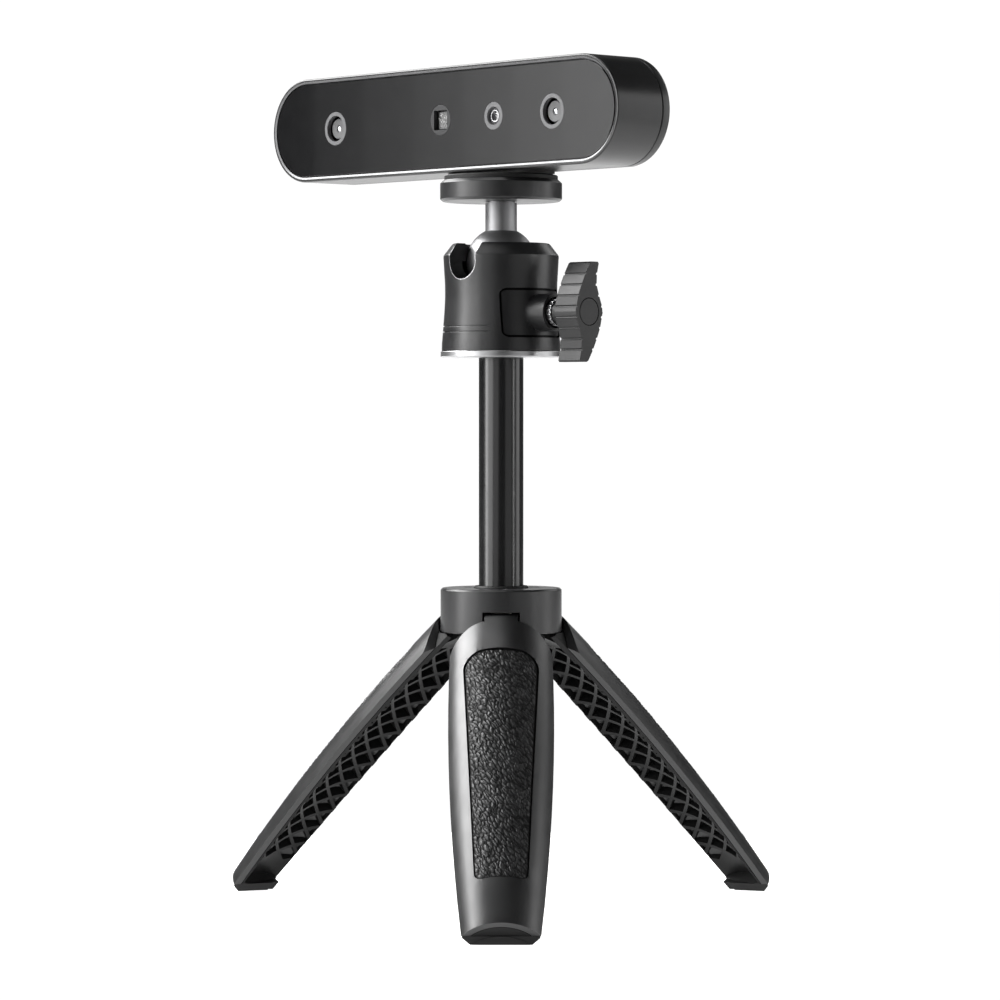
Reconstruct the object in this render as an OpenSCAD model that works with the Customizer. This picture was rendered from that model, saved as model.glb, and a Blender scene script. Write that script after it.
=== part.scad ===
// Compact stereo 3-D scanner on a ball head, an extension pole and a three-legged grip tripod.
// Row frame: millimetres, +Z up, origin on the floor below the pole, front leg towards -Y.

/* [Scanner] */
// Length of the scanner, end to end
scanner_w = 187.8; // [180:0.1:196]
// Height of the scanner
scanner_h = 38.2; // [36:0.1:40]
// Depth of the scanner, glass to back
scanner_d = 25.7; // [24:0.1:28]
// Turn of the scanner on the mounting screw, in degrees
scanner_yaw = 48; // [0:1:90]
// Distance from the tripod thread to the middle of the scanner
thread_offset = 19.9; // [0:0.1:25]

/* [Ball head] */
// Radius of the ball
ball_r = 12.5; // [12.2:0.1:12.7]
// Radius of the ball's stem
stem_r = 5.65; // [5:0.05:5.8]
// Diameter of the mounting disc
disc_d = 43.6; // [40:0.1:44]
// Direction that the clamp knob points, in degrees from +X
knob_azimuth = -45; // [-60:1:-30]

/* [Pole] */
// Diameter of the pole
pole_d = 16; // [15.6:0.1:16]
// Height of the ball's centre above the floor
ball_z = 230.6; // [225:0.1:240]

/* [Tripod] */
// Diameter of the collar
collar_d = 43.4; // [43:0.1:44]
// Angle that each leg is open, in degrees from the pole
leg_open = 45; // [44:0.5:46]
// Height of the hinge pins above the floor
pivot_z = 102.5; // [102:0.1:103]
// Distance of the hinge pins from the pole's axis
pivot_r = 12; // [11.9:0.1:12.2]

/* [Hidden] */
$fn = 96;

gap = 0.05;        // between pieces of one body
run = 0.3;         // between bodies that only pass each other
pin_r = 1.25;      // hinge pins
big = 400;

// heights up the pole
collar_bottom = 98.4;
collar_top = 114.2;
ring_bottom = 196.5;
ring_top = 198.8;
body_top = 237.2;
disc_bottom = 252.2;
disc_top = 259.9;
pad_top = 261.5;
scanner_bottom = 262.6;
knob_z = 212.2;

// leg directions round the pole
front_az = -90;
right_az = 30;
left_az = 150;

// ---------------------------------------------------------------- leg shape
// Distance down the leg from the hinge pin is s. The closed legs make a barrel-shaped grip.
function barrel_r(s) = 20.45 + 7.27 * (s / 140) - 12.52 * pow(s / 140, 2);
leg_length = 148;
shell_t = 2.4;      // outer cover
grip_t = 1.2;       // leather-like inlay
groove = 0.25;      // parting line between cover and frame
half_sector = 59.2; // each leg fills a third of the round grip
tab_w = 11.8;       // hinge tab
slot_w = 13.2;      // slot in the collar for the tab
knuckle_r = 2.9;
leg_end = 137.1;    // the folded grip's flat end
end_wall = 2.6;
foot_t = 2.85;      // rubber foot, measured up from the floor
toe_r = 106.3;      // how far from the pole's axis the foot reaches
steps = 12;
core_r = 2;         // nothing of a leg is nearer the grip's middle line

// Revolved layer of the barrel between two depths below its surface
module barrel_layer(depth_out, depth_in, s0 = 0, s1 = leg_length) {
  ds = (s1 - s0) / steps;
  outside = [for (i = [0:steps]) [barrel_r(s0 + i * ds) - depth_out, -(s0 + i * ds)]];
  inside = [for (i = [steps:-1:0]) [max(core_r, barrel_r(s0 + i * ds) - depth_in), -(s0 + i * ds)]];
  rotate([0, 0, -half_sector])
    rotate_extrude(angle = 2 * half_sector, $fn = 180)
      polygon(concat(outside, inside));
}

// Extrudes a flat outline, drawn across the leg and along it, outwards through the leg
module through_leg(from = 0, to = 40) {
  translate([from, 0, 0])
    rotate([90, 0, 90])
      linear_extrude(to - from)
        children();
}

// Rounded top of the leg's outline, with its hinge tab
module petal_outline() {
  arch_r = 12.6;
  arch_top = 6.7;
  union() {
    for (side = [-1, 1])
      translate([side * 6.2, -arch_top - arch_r])
        circle(arch_r, $fn = 96);
    translate([-6.2, -arch_top - arch_r])
      square([12.4, arch_r]);
    translate([-20, -leg_length - 5])
      square([40, leg_length + 5 - arch_top - arch_r]);
    translate([-tab_w / 2, -arch_top - 4])
      square([tab_w, arch_top + 4 + 6]);
  }
}

// Cuts a closed leg flat, as it stands once the leg is open: keeps what is over height z
module above_open(z) {
  translate([pivot_r, 0, 0])
    rotate([0, leg_open, 0])
      translate([-big / 2, -big / 2, z - pivot_z])
        cube([big, big, big]);
}

// What the collar sweeps through, seen from the leg, as the leg folds
module collar_sweep(clear = run) {
  difference() {
    for (a = [0, 9, 18, 27, 36, 45])
      translate([pivot_r, 0, 0])
        rotate([0, a, 0])
          translate([-pivot_r, 0, collar_bottom - pivot_z - clear])
            cylinder(r = collar_d / 2 + clear, h = 30, $fn = 120);
    translate([-5, -tab_w / 2 - 0.001, -30])
      cube([60, tab_w + 0.002, 60]);
  }
}

// Keeps the tab under the ceiling of its slot in the collar
module tab_limit() {
  translate([pivot_r, 0, 0])
    rotate([0, leg_open, 0])
      translate([-big / 2, -big / 2, -big + 3])
        cube([big, big, big]);
}

// Points on an arc
function arc(x, y, r, from, to, n = 8) =
  [for (k = [0:n]) [x + r * cos(from + (to - from) * k / n), y + r * sin(from + (to - from) * k / n)]];

module grip_outline(inset = 0) {
  top_s = 20.2 + inset;
  end_s = 119.3 - inset;
  top_t = 13.3 - inset;
  end_t = 9.2 - inset;
  top_r = 7;
  end_r = 3;
  polygon(concat(
    arc(top_t - top_r, -top_s - top_r, top_r, 0, 90),
    arc(top_r - top_t, -top_s - top_r, top_r, 90, 180),
    arc(end_r - end_t, -end_s + end_r, end_r, 180, 270, 5),
    arc(end_t - end_r, -end_s + end_r, end_r, 270, 360, 5)));
}

// Keeps what is over the flat end
module end_outline(lift = 0) {
  translate([-20, -leg_end + lift])
    square([40, leg_end + 10]);
}

module leg_shell() {
  difference() {
    intersection() {
      barrel_layer(0, shell_t, 3, leg_length);
      through_leg() intersection() { petal_outline(); end_outline(); }
      above_open(foot_t + gap);
      tab_limit();
    }
    intersection() {
      barrel_layer(-2, grip_t, 18, 122);
      through_leg() grip_outline();
    }
    collar_sweep();
  }
}

module leg_grip() {
  intersection() {
    barrel_layer(0.1, grip_t - gap, 18, 122);
    through_leg() grip_outline(0.25);
  }
}

// Concave inner face of the leg, which leaves room for the pole
module trough() {
  axis_u = -8;
  last = leg_end - end_wall;
  function trough_r(s) = 21.8 - 0.65 * (21.5 - barrel_r(s));
  ds = (last + 5) / steps;
  edge = [for (i = [0:steps]) [trough_r(i * ds - 5), 5 - i * ds]];
  translate([axis_u, 0, 0])
    rotate([0, 0, -90])
      rotate_extrude(angle = 180, $fn = 180)
        polygon(concat([[0, 5]], edge, [[0, edge[steps][1]]]));
}

cell_s = 8.2;      // lattice pitch along the leg
cell_t = 9;        // lattice pitch across the leg
rib_t = 1.25;
first_cell = 17;
last_cell = 130;

// Diamond openings of the lattice, as far out as the side walls
module lattice_cells() {
  scale_s = rib_t / cell_s * 1.35;
  rows = floor((last_cell - first_cell) / cell_s);
  intersection() {
    union() {
      for (i = [-4:4], j = [0:2 * rows]) {
        if ((i + j) % 2 == 0) {
          t = i * cell_t / 2;
          s = first_cell + j * cell_s / 2;
          a = cell_t / 2 * (1 - scale_s);
          b = cell_s / 2 * (1 - scale_s);
          translate([t, -s])
            polygon([[a, 0], [0, b], [-a, 0], [0, -b]]);
        }
      }
    }
    polygon([[-14.7, -first_cell + 2], [14.7, -first_cell + 2], [15.2, -55], [14.2, -90],
             [11.4, -last_cell - 1], [-11.4, -last_cell - 1], [-14.2, -90], [-15.2, -55]]);
  }
}

module hinge_arm() {
  // arm from the pin's knuckle to the leg, drawn in section
  rotate([90, 0, 0])
    translate([0, 0, -tab_w / 2])
      linear_extrude(tab_w)
        union() {
          translate([pivot_r, 0]) circle(knuckle_r, $fn = 64);
          polygon([[pivot_r - 2.05, 2.05], [pivot_r + 2.05, 2.05], [18.2, -4.5], [18.4, -17],
                   [13.6, -17], [pivot_r - knuckle_r, -6], [pivot_r - knuckle_r, 0]]);
        }
}

module leg_frame() {
  difference() {
    union() {
      intersection() {
        difference() {
          barrel_layer(shell_t + groove, 15, 4.6, leg_length);
          trough();
          through_leg() lattice_cells();
        }
        through_leg() end_outline();
        above_open(foot_t + gap);
      }
      intersection() {
        hinge_arm();
        translate([0, 0, -30]) cylinder(r = 17.9, h = 60, $fn = 120);
        tab_limit();
      }
    }
    collar_sweep();
    translate([pivot_r, 0, 0])
      rotate([90, 0, 0])
        cylinder(r = pin_r + 0.05, h = 40, center = true, $fn = 48);
  }
}

module leg_foot() {
  arch_r = 17.8;
  lip = 0.35;
  difference() {
    intersection() {
      barrel_layer(0.3, 20, 118, leg_length);
      above_open(0);
      // the toe stands upright, with an arched lip
      translate([pivot_r, 0, 0])
        rotate([0, leg_open, 0])
          translate([-pivot_r, 0, -pivot_z])
            union() {
              translate([0, -20, -1]) cube([toe_r, 40, foot_t + 2]);
              translate([0, 0, foot_t - arch_r])
                rotate([0, 90, 0]) cylinder(r = arch_r, h = toe_r + lip, $fn = 120);
            }
    }
    above_open(foot_t);
  }
}

// Small slot through the side wall near the foot, for a wrist lanyard
module lanyard_slot() {
  translate([9.6, -11, -130])
    rotate([0, 3, -60])
      cube([1.4, 8, 6], center = true);
}

// Swings a closed leg open and turns it to its place round the pole
module open_leg(azimuth) {
  rotate([0, 0, azimuth])
    translate([pivot_r, 0, pivot_z])
      rotate([0, -leg_open, 0])
        translate([-pivot_r, 0, 0])
          children();
}

// ---------------------------------------------------------------- hub
module each_leg() {
  for (a = [front_az, right_az, left_az])
    rotate([0, 0, a]) children();
}

slot_top = 106.3;
module tab_slots(from_r) {
  each_leg()
    translate([from_r, -slot_w / 2, collar_bottom - 1])
      cube([30, slot_w, slot_top - collar_bottom + 1]);
}

module collar() {
  color([0.10, 0.10, 0.105])
  difference() {
    rotate_extrude($fn = 144)
      polygon([[9.9, 110.9], [19.5, 110.9], [19.5, collar_bottom],
               [collar_d / 2 - 0.4, collar_bottom], [collar_d / 2, collar_bottom + 0.4],
               [collar_d / 2, collar_top - 0.7], [collar_d / 2 - 0.7, collar_top],
               [9.9, collar_top]]);
    tab_slots(16);
    hub_screw_places() {
      translate([0, 0, 100]) cylinder(r = 1.35, h = 20, $fn = 32);
      translate([0, 0, collar_top - 1.6]) cylinder(r = 2.25, h = 5, $fn = 40);
    }
  }
}

module hinge_block() {
  color([0.16, 0.16, 0.165])
  difference() {
    rotate_extrude($fn = 120)
      polygon([[8.8, collar_bottom + 0.3], [19.4, collar_bottom + 0.3], [19.4, 110.85], [8.8, 110.85]]);
    tab_slots(8);
    each_leg()
      translate([pivot_r, 0, pivot_z])
        rotate([90, 0, 0])
          cylinder(r = pin_r + 0.02, h = 44, center = true, $fn = 48);
    hub_screw_places()
      translate([0, 0, slot_top + 1])
        cylinder(r = 1.3, h = 20, $fn = 32);
  }
}

module hub_screw_places() {
  each_leg()
    translate([13.4, 0, 0]) children();
}

module hub_screws() {
  color([0.55, 0.55, 0.56])
  hub_screw_places()
    difference() {
      union() {
        translate([0, 0, collar_top - 1.55]) cylinder(r = 2.1, h = 0.95, $fn = 40);
        translate([0, 0, slot_top + 1.2]) cylinder(r = 1.25, h = 5.5, $fn = 32);
      }
      translate([0, 0, collar_top - 1.2]) cylinder(r = 1.1, h = 2, $fn = 6);
    }
}

module hinge_pins() {
  color([0.62, 0.62, 0.63])
  each_leg()
    translate([pivot_r, 0, pivot_z])
      rotate([90, 0, 0])
        cylinder(r = pin_r, h = 28, center = true, $fn = 48);
}

module pole_bush() {
  color([0.85, 0.85, 0.82])
  rotate_extrude($fn = 96)
    polygon([[pole_d / 2 + 0.05, collar_bottom - 1], [8.75, collar_bottom - 1],
             [8.75, 112.6], [pole_d / 2 + 0.05, 112.6]]);
}

module pole_wiper_ring() {
  color([0.13, 0.13, 0.13])
  rotate_extrude($fn = 96)
    polygon([[pole_d / 2 + 0.06, 112.7], [9.8, 112.7], [9.8, 114.4], [9.3, 115],
             [pole_d / 2 + 0.4, 115], [pole_d / 2 + 0.06, 114.6]]);
}

// ---------------------------------------------------------------- pole
pole_bottom = 95.6;
module pole_tube() {
  color([0.09, 0.09, 0.095])
  rotate_extrude($fn = 96)
    polygon([[6.6, pole_bottom], [pole_d / 2, pole_bottom], [pole_d / 2, ring_bottom - gap],
             [6.6, ring_bottom - gap]]);
}

module pole_stop_ring() {
  color([0.2, 0.2, 0.2])
  union() {
    translate([0, 0, 94]) cylinder(r = 8.5, h = 1.55, $fn = 96);
    translate([0, 0, 95.5]) cylinder(r = 6.5, h = 8, $fn = 64);
  }
}

module pole_head_plug() {
  color([0.5, 0.5, 0.51])
  union() {
    translate([0, 0, 186]) cylinder(r = 6.55, h = 10.4, $fn = 64);
    translate([0, 0, 196.3]) cylinder(r = 3.1, h = 8.2, $fn = 48);
  }
}

module base_ring() {
  color([0.82, 0.82, 0.83])
  rotate_extrude($fn = 144)
    polygon([[3.2, ring_bottom], [21.3, ring_bottom], [21.65, ring_bottom + 0.35],
             [21.65, ring_top - 0.25], [21.4, ring_top], [3.2, ring_top]]);
}

// ---------------------------------------------------------------- ball head
// Head frame: origin on the pole's axis at the ball's height, knob towards +X, notch towards -Y
module head_place() {
  translate([0, 0, ball_z])
    rotate([0, 0, knob_azimuth])
      children();
}
knob_h = knob_z - ball_z;   // the knob's axis, from the ball's centre
seat_gap = 0.3;
pocket_r = ball_r + 2.2;
boss_end = 27.4;
panel_w = 29;
panel_h = 17.2;

module head_outline(inset = 0) {
  low = ring_top + 0.1 - ball_z;
  high = body_top - ball_z;
  side = [[21.25, low], [21.2, low + 2.5], [20.75, low + 8], [20.3, low + 14],
          [20.05, low + 19], [20.1, low + 24], [20.4, low + 29], [20.65, 1.7], [20.6, 2.2],
          [20.3, 2.7], [17.6, high - 0.4], [17.1, high - 0.06], [16.8, high]];
  polygon(concat([[0, low]], [for (point = side) [point[0] - inset, point[1]]], [[0, high]]));
}

module rounded_plate(w, h, r, t) {
  rotate([90, 0, 90])
    linear_extrude(t)
      union() {
        square([w - 2 * r, h], center = true);
        square([w, h - 2 * r], center = true);
        for (x = [-1, 1], y = [-1, 1])
          translate([x * (w / 2 - r), y * (h / 2 - r)]) circle(r, $fn = 32);
      }
}

module head_body() {
  color([0.12, 0.12, 0.125])
  head_place()
  difference() {
    union() {
      difference() {
        rotate_extrude($fn = 144) head_outline();
        // sunk panel round the knob's boss, with a groove along its edge
        difference() {
          translate([8, 0, knob_h]) rounded_plate(panel_w, panel_h, 2.2, 20);
          rotate_extrude($fn = 144) head_outline(0.45);
        }
        difference() {
          translate([8, 0, knob_h]) rounded_plate(panel_w, panel_h, 2.2, 20);
          translate([7, 0, knob_h]) rounded_plate(panel_w - 1.3, panel_h - 1.3, 1.6, 22);
          rotate_extrude($fn = 144) head_outline(0.9);
        }
        // two engraved lines
        for (z = [-23.1, -25.1])
          translate([0, 0, z])
            rotate([0, 0, 153])
              rotate_extrude(angle = 150, $fn = 144)
                translate([20.25, 0]) square([3, 0.32]);
      }
      translate([10, 0, knob_h])
        rotate([0, 90, 0])
          cylinder(r = 6.7, h = boss_end - 10, $fn = 96);
    }
    // socket: a close fit over the ball, and a wider pocket for the seat below
    sphere(ball_r + seat_gap, $fn = 96);
    intersection() {
      sphere(pocket_r, $fn = 96);
      translate([-20, -20, -20]) cube([40, 40, 20.2]);
    }
    // flared mouth
    translate([0, 0, 4.9]) cylinder(r1 = 11.0, r2 = 14.1, h = 2.2, $fn = 96);
    // notch that lets the stem lie level
    rotate([90, 0, 0]) cylinder(r = 6.4, h = 30, $fn = 64);
    translate([-6.4, -30, 0]) cube([12.8, 30, 20]);
    // bore and counterbore for the clamp screw
    translate([4, 0, knob_h]) rotate([0, 90, 0]) cylinder(r = 3.35, h = 40, $fn = 48);
    translate([boss_end - 3.2, 0, knob_h]) rotate([0, 90, 0]) cylinder(r = 5.6, h = 10, $fn = 64);
    // bore for the pusher and its spring, and the stud of the pole
    translate([0, 0, -27]) cylinder(r = 5.3, h = 20, $fn = 64);
    translate([0, 0, -40]) cylinder(r = 3.3, h = 20, $fn = 48);
  }
}

module ball_seat() {
  color([0.9, 0.9, 0.86])
  head_place()
  difference() {
    sphere(ball_r + 1.9, $fn = 96);
    sphere(ball_r + seat_gap, $fn = 96);
    translate([-20, -20, -7.1]) cube([40, 40, 40]);
    translate([0, 0, -20]) cylinder(r = 3.5, h = 12, $fn = 48);
  }
}

module seat_pusher() {
  color([0.6, 0.6, 0.6])
  head_place()
  difference() {
    union() {
      translate([0, 0, -21.4]) cylinder(r = 5.2, h = 5.6, $fn = 64);
      translate([0, 0, -21.4]) cylinder(r1 = 5.2, r2 = 4, h = 6.6, $fn = 64);
    }
    sphere(ball_r + 2.3, $fn = 64);
    translate([3.4, 0, knob_h]) rotate([0, 90, 0]) cylinder(r1 = 1.6, r2 = 3.6, h = 3, $fn = 48);
  }
}

module seat_spring() {
  color([0.65, 0.65, 0.66])
  head_place()
  for (k = [0:2])
    translate([0, 0, -26.6 + k * 1.8])
      rotate_extrude($fn = 64)
        translate([3.7 + 0.5 * (k % 2), 0.6]) circle(0.55, $fn = 24);
}

module clamp_pin() {
  color([0.72, 0.7, 0.62])
  head_place()
  translate([0, 0, knob_h])
    rotate([0, 90, 0]) {
      translate([0, 0, 4.6]) cylinder(r1 = 2.0, r2 = 3.1, h = 1.4, $fn = 48);
      translate([0, 0, 5.9]) cylinder(r = 3.1, h = 8, $fn = 48);
    }
}

module knob_screw() {
  color([0.7, 0.7, 0.71])
  head_place()
  translate([0, 0, knob_h])
    rotate([0, 90, 0])
      rotate_extrude($fn = 48)
        polygon(concat([[0, 14.1]],
          [for (k = [0:34]) [(k % 2 == 0) ? 2.5 : 3.0, 14.1 + k * 0.5]],
          [[2.5, 31.6], [2.5, 40], [0, 40]]));
}

module knob_washer() {
  color([0.75, 0.75, 0.76])
  head_place()
  translate([0, 0, knob_h])
    rotate([0, 90, 0])
      difference() {
        union() {
          translate([0, 0, boss_end - 1.4]) cylinder(r = 4.7, h = 3.2, $fn = 48);
          for (k = [0:17])
            rotate([0, 0, k * 20])
              translate([4.55, 0, boss_end + 0.2]) cylinder(r = 0.5, h = 1.6, $fn = 16);
        }
        translate([0, 0, 20]) cylinder(r = 3.05, h = 20, $fn = 48);
      }
}

knob_back = 33.2;
knob_face = 43.6;
// Two-winged outline: a round hub and two swept wings, the same after half a turn, with
// grip notches between its flats
module knob_outline() {
  difference() {
    union() {
      circle(6.7, $fn = 64);
      for (half = [0, 180])
        rotate(half)
          polygon([[-6.9, 0], [-6.44, 1.9], [-5.52, 5.7], [-3.89, 9.5], [-1.97, 13.3],
                   [0.35, 17.1], [1.2, 17.6], [4.3, 17.6], [4.84, 17], [3.93, 13.3],
                   [3.76, 9.5], [5.03, 5.7], [6.56, 1.9], [6.6, 0]]);
    }
    for (half = [0, 180])
      rotate(half)
        for (notch = [[-6.44, 1.9], [-5.52, 5.7], [-3.89, 9.5], [-1.97, 13.3],
                      [3.93, 13.3], [3.76, 9.5], [5.03, 5.7], [6.56, 1.9]])
          translate(notch) circle(0.45, $fn = 24);
  }
}

module knob() {
  color([0.15, 0.15, 0.155])
  head_place()
  translate([0, 0, knob_h])
    difference() {
      union() {
        translate([knob_back, 0, 0])
          rotate([90, 0, 90]) linear_extrude(knob_face - knob_back) knob_outline();
        translate([boss_end + 2.1, 0, 0]) rotate([0, 90, 0]) cylinder(r = 4.4, h = 5, $fn = 64);
      }
      translate([20, 0, 0]) rotate([0, 90, 0]) cylinder(r = 3.05, h = 20.1, $fn = 48);
      translate([knob_face - 1.2, 0, 0]) rotate([0, 90, 0]) cylinder(r = 4.95, h = 5, $fn = 64);
    }
}

module knob_cap() {
  color([0.17, 0.17, 0.175])
  head_place()
  translate([knob_face - 1.15, 0, knob_h])
    rotate([0, 90, 0])
      rotate_extrude($fn = 64)
        polygon([[0, 0], [4.75, 0], [4.75, 1.0], [4.6, 1.15], [0, 1.15]]);
}

module ball_stem() {
  color([0.62, 0.62, 0.63])
  translate([0, 0, ball_z])
    difference() {
      union() {
        sphere(ball_r, $fn = 120);
        cylinder(r = stem_r, h = disc_bottom - ball_z - 0.4, $fn = 96);
        cylinder(r = stem_r - 0.8, h = disc_bottom - ball_z + 2.5, $fn = 96);
      }
      translate([0, 0, 12]) cylinder(r = 3.15, h = 30, $fn = 48);
    }
}

module mount_disc() {
  color([0.12, 0.12, 0.125])
  difference() {
    rotate_extrude($fn = 144)
      polygon([[3.3, disc_bottom], [disc_d / 2 - 0.9, disc_bottom], [disc_d / 2, disc_bottom + 0.8],
               [disc_d / 2, disc_top - 1.2], [disc_d / 2 - 1.3, disc_top], [3.3, disc_top]]);
    translate([0, 0, disc_bottom - 1]) cylinder(r = stem_r - 0.75, h = 3.55, $fn = 96);
  }
}

module disc_pad() {
  color([0.07, 0.07, 0.07])
  rotate_extrude($fn = 120)
    polygon([[3.6, disc_top + gap], [20.3, disc_top + gap], [20.3, pad_top - 0.3], [20.0, pad_top],
             [3.6, pad_top]]);
}

module mount_screw() {
  color([0.72, 0.72, 0.73])
  rotate_extrude($fn = 48)
    polygon(concat([[0, 243]], [[3.05, 243], [3.05, pad_top - 0.2]],
      [for (k = [0:10]) [(k % 2 == 0) ? 2.55 : 3.05, pad_top + 0.1 + k * 0.6]],
      [[2.4, pad_top + 6.6], [0, pad_top + 6.6]]));
}

// ---------------------------------------------------------------- scanner
// Scanner frame: X along the length, Y down, Z from the glass to the back
module scanner_place() {
  rotate([0, 0, -scanner_yaw])
    translate([-thread_offset, -scanner_d / 2, scanner_bottom + scanner_h / 2])
      rotate([-90, 0, 0])
        children();
}
end_x = scanner_w / 2 - scanner_h / 2;   // centres of the round ends
half_h = scanner_h / 2;
seam = 21.3;                             // depth of the joint between housing and rear cover
wall = 1.8;
thread_x = thread_offset;                // the tripod thread, from the scanner's middle

// Sweeps a section (distance from the middle line, depth) round a stadium
module stadium() {
  for (side = [0, 180])
    rotate([0, 0, side])
      translate([end_x, 0, 0])
        rotate([0, 0, -90])
          rotate_extrude(angle = 180, $fn = 96) children();
  for (side = [0, 1])
    mirror([0, side, 0])
      translate([-end_x, 0, 0])
        rotate([90, 0, 90])
          linear_extrude(2 * end_x) children();
}

module front_housing() {
  color([0.05, 0.05, 0.052])
  scanner_place()
  difference() {
    stadium()
      polygon([[half_h - 0.45, 0.05], [half_h - 0.13, 0.2], [half_h, 0.55], [half_h, seam - 0.2],
               [half_h - 0.3, seam], [half_h - wall, seam], [half_h - wall, 3.6], [half_h - 3.4, 3.6],
               [half_h - 3.4, 2.0], [half_h - 0.95, 2.0], [half_h - 0.95, 0.05]]);
    // hole for the tripod bush
    translate([thread_x, half_h - 6, scanner_d / 2])
      rotate([-90, 0, 0]) cylinder(r = 6.05, h = 10, $fn = 64);
  }
}

module bezel_ring() {
  color([0.75, 0.75, 0.76])
  scanner_place()
  stadium()
    polygon([[half_h - 1.7, 0.3], [half_h - 1.05, 0.0], [half_h - 1.0, 0.05], [half_h - 1.0, 1.95],
             [half_h - 1.7, 1.95]]);
}

left_x = -57.5;
projector_x = 1.4;
colour_x = 29.8;
right_x = 60.3;
ring_r = 6.15;
colour_ring_r = 4.9;
projector_ring_r = 5.5;

module front_glass() {
  color([0.16, 0.16, 0.17])
  scanner_place()
  difference() {
    stadium()
      polygon([[0, 0.25], [half_h - 2.3, 0.25], [half_h - 2.1, 0.45], [half_h - 2.1, 1.95], [0, 1.95]]);
    for (x = [left_x, right_x])
      translate([x, 0, -1]) cylinder(r = ring_r + 0.05, h = 5, $fn = 72);
    translate([colour_x, 0, -1]) cylinder(r = colour_ring_r + 0.05, h = 5, $fn = 72);
    translate([projector_x, 0, -1]) cylinder(r = projector_ring_r + 0.05, h = 5, $fn = 72);
  }
}

module camera_ring(x) {
  color([0.42, 0.42, 0.43])
  scanner_place()
  translate([x, 0, 0])
    rotate_extrude($fn = 72)
      polygon([[4.75, 0.2], [ring_r - 0.1, 0.2], [ring_r, 0.3], [ring_r, 1.9], [4.75, 1.9]]);
}

module camera_barrel(x) {
  color([0.2, 0.2, 0.2])
  scanner_place()
  translate([x, 0, 0])
    difference() {
      union() {
        rotate_extrude($fn = 72)
          polygon([[1.05, 2.45], [1.35, 1.9], [3.55, 1.7], [3.75, 1.9],
                   [3.75, 6.0], [4.7, 6.0], [4.7, 11], [1.05, 11]]);
        translate([-5, -5, 9]) cube([10, 10, 5.4]);
      }
      translate([0, 0, 2.55]) cylinder(r = 2.5, h = 8.5, $fn = 48);
    }
}

module camera_lens(x) {
  color([0.1, 0.12, 0.2])
  scanner_place()
  translate([x, 0, 2.6])
    intersection() {
      translate([0, 0, 6.05]) sphere(6, $fn = 72);
      cylinder(r = 2.42, h = 3.5, $fn = 48);
    }
}

module colour_camera_ring() {
  color([0.42, 0.42, 0.43])
  scanner_place()
  translate([colour_x, 0, 0])
    rotate_extrude($fn = 72)
      polygon([[3.0, 0.9], [3.3, 0.2], [colour_ring_r - 0.1, 0.2], [colour_ring_r, 0.3],
               [colour_ring_r, 1.9], [3.0, 1.9]]);
}

module colour_camera_lens() {
  color([0.08, 0.08, 0.1])
  scanner_place()
  translate([colour_x, 0, 0])
    union() {
      rotate_extrude($fn = 72)
        polygon([[0, 1.5], [1.0, 1.55], [1.5, 1.75], [2.2, 1.1], [2.8, 1.1],
                 [2.8, 6], [4.2, 6], [4.2, 9.0], [0, 9.0]]);
      translate([-4.2, -4.2, 8.9]) cube([8.4, 8.4, 5.5]);
    }
}

module projector_ring() {
  color([0.42, 0.42, 0.43])
  scanner_place()
  translate([projector_x, 0, 0])
    difference() {
      rotate_extrude($fn = 72)
        polygon([[0, 0.2], [projector_ring_r - 0.1, 0.2], [projector_ring_r, 0.3],
                 [projector_ring_r, 1.9], [0, 1.9]]);
      translate([-3.5, -3.5, -1]) cube([7.0, 7.0, 5]);
    }
}

module projector_engine() {
  color([0.6, 0.6, 0.6])
  scanner_place()
  translate([projector_x, 0, 0])
    union() {
      translate([-3.1, -3.1, 2.4]) cube([6.2, 6.2, 1.2]);
      translate([-6, -8, 3.5]) cube([12, 16, 10.9]);
    }
}

module rear_cover() {
  color([0.06, 0.06, 0.062])
  scanner_place()
  difference() {
    union() {
      stadium()
        polygon([[0, 23.5], [half_h - wall - 1.3, 23.5], [half_h - wall - 1.3, seam - 2],
                 [half_h - wall - 0.1, seam - 2], [half_h - wall - 0.1, seam + 0.15],
                 [half_h - 0.25, seam + 0.15], [half_h, seam + 0.45],
                 [half_h, scanner_d - 1.6], [half_h - 0.3, scanner_d - 0.75],
                 [half_h - 0.9, scanner_d - 0.25], [half_h - 1.7, scanner_d], [0, scanner_d]]);
    }
    // USB opening, button hole, status light hole
    translate([-28, 0, 15]) rounded_hole(9.3, 3.4, 20);
    translate([0, 0, 15]) cylinder(r = 4.3, h = 20, $fn = 64);
    translate([14, 0, 15]) cylinder(r = 1.05, h = 20, $fn = 32);
    rear_screw_places() translate([0, 0, 15]) cylinder(r = 1.3, h = 20, $fn = 32);
    rear_screw_places() translate([0, 0, scanner_d - 1.1]) cylinder(r = 2.15, h = 20, $fn = 40);
  }
}

module rounded_hole(w, h, t) {
  linear_extrude(t)
    union() {
      square([w - h, h], center = true);
      for (x = [-1, 1])
        translate([x * (w - h) / 2, 0]) circle(h / 2, $fn = 32);
    }
}

module rear_screw_places() {
  for (x = [-78, 78], y = [-9.5, 9.5])
    translate([x, y, 0]) children();
}

module rear_cover_screws() {
  color([0.3, 0.3, 0.31])
  scanner_place()
  rear_screw_places()
    difference() {
      union() {
        translate([0, 0, scanner_d - 1.05]) cylinder(r = 2.05, h = 0.95, $fn = 40);
        translate([0, 0, 13.6]) cylinder(r = 1.2, h = 11.2, $fn = 32);
      }
      translate([0, 0, scanner_d - 0.75]) cylinder(r = 1.0, h = 1, $fn = 6);
    }
}

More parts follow.
